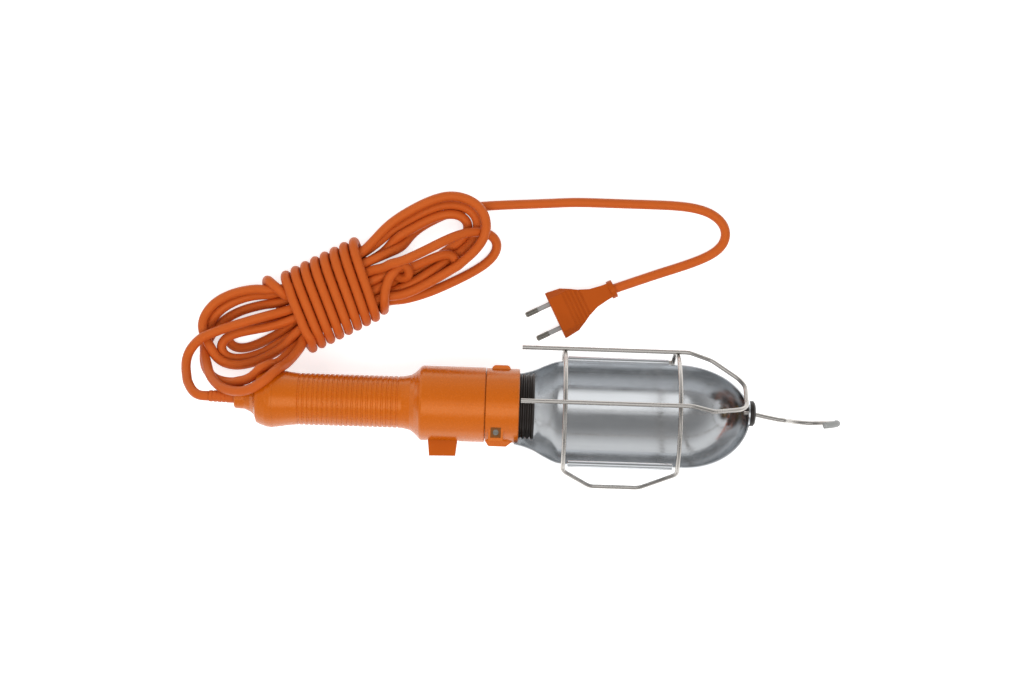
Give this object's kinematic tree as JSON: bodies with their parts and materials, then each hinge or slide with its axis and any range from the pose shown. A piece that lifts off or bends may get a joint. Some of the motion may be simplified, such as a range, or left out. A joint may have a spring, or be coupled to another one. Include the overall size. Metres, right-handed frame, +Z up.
{
  "type": "work light",
  "caption": "Hand-held work light with ribbed handle, rocker switch, bulb socket, half-shell reflector, hinged wire guard, swivel hook and hanked mains cord.",
  "frame": {"origin": "on the lamp's axis, in the plane of the collar's front face, at the mouth of the lampholder", "axes": "+X along the lamp's axis from the grip to the hook, +Z up from the surface that the lamp lies on, +Y towards the side where the hanked cord lies"},
  "size_m": [0.4649, 0.2039, 0.0865],
  "materials": {
    "orange_plastic": "moulded, semi-gloss",
    "orange_pvc": "smooth flexible PVC, satin",
    "zinc_steel": "zinc plated",
    "reflector_steel": "pressed sheet, bright zinc plated",
    "wire_steel": "drawn wire, bright zinc plated",
    "brass": "plain",
    "black_plastic": "moulded phenolic, satin",
    "ceramic": "glazed ceramic",
    "grey_plastic": "moulded, satin",
    "nickel_brass": "nickel plated",
    "brown_insulation": "PVC",
    "blue_insulation": "PVC"
  },
  "bodies": {
    "root": {"handle": "orange_plastic", "tail_cap": "orange_plastic", "tail_cap_screws": "zinc_steel", "strain_relief": "orange_pvc", "cord_clamp": "black_plastic", "cord_clamp_screws": "zinc_steel", "front_collar": "orange_plastic", "collar_nut": "brass", "collar_screw": "zinc_steel", "lampholder_skirt": "black_plastic", "lampholder_base": "ceramic", "screw_shell": "brass", "centre_contact": "brass", "terminal_screws": "zinc_steel", "line_wire": "brown_insulation", "neutral_wire": "blue_insulation", "switch_frame": "black_plastic", "switch_contacts": "brass", "switch_spring": "zinc_steel", "rocker_pin": "zinc_steel", "reflector": "reflector_steel", "reflector_screw": "zinc_steel", "hook_grommet": "black_plastic", "cord_inner": "orange_pvc", "cord_lead": "orange_pvc", "cord_over": "orange_pvc", "cord_hank_left": "orange_pvc", "cord_wraps": "orange_pvc", "cord_hank_right": "orange_pvc", "cord_tail": "orange_pvc", "plug_body": "orange_pvc", "plug_sleeves": "grey_plastic", "plug_pins": "nickel_brass"},
    "guard": {"guard_hoops": "wire_steel", "guard_bail": "wire_steel", "guard_long_wires": "wire_steel"},
    "hook": {"hook": "wire_steel", "hook_sleeve": "grey_plastic"},
    "rocker": {"switch_rocker": "orange_plastic", "contact_bar": "brass"}
  },
  "joints": [
    {"name": "guard_hinge", "type": "hinge", "parent": "root", "child": "guard", "pos_m": [0.07, 0.03328, -0.03103], "axis": [-1, 0, 0], "range_deg": [0, 50]},
    {"name": "hook_swivel", "type": "hinge", "parent": "root", "child": "hook", "pos_m": [0.15972, 0, 0], "axis": [1, 0, 0], "continuous": true},
    {"name": "switch_rock", "type": "hinge", "parent": "root", "child": "rocker", "pos_m": [-0.05225, -0.0202, 0], "axis": [0, 0, 1], "range_deg": [0, 10]}
  ]
}
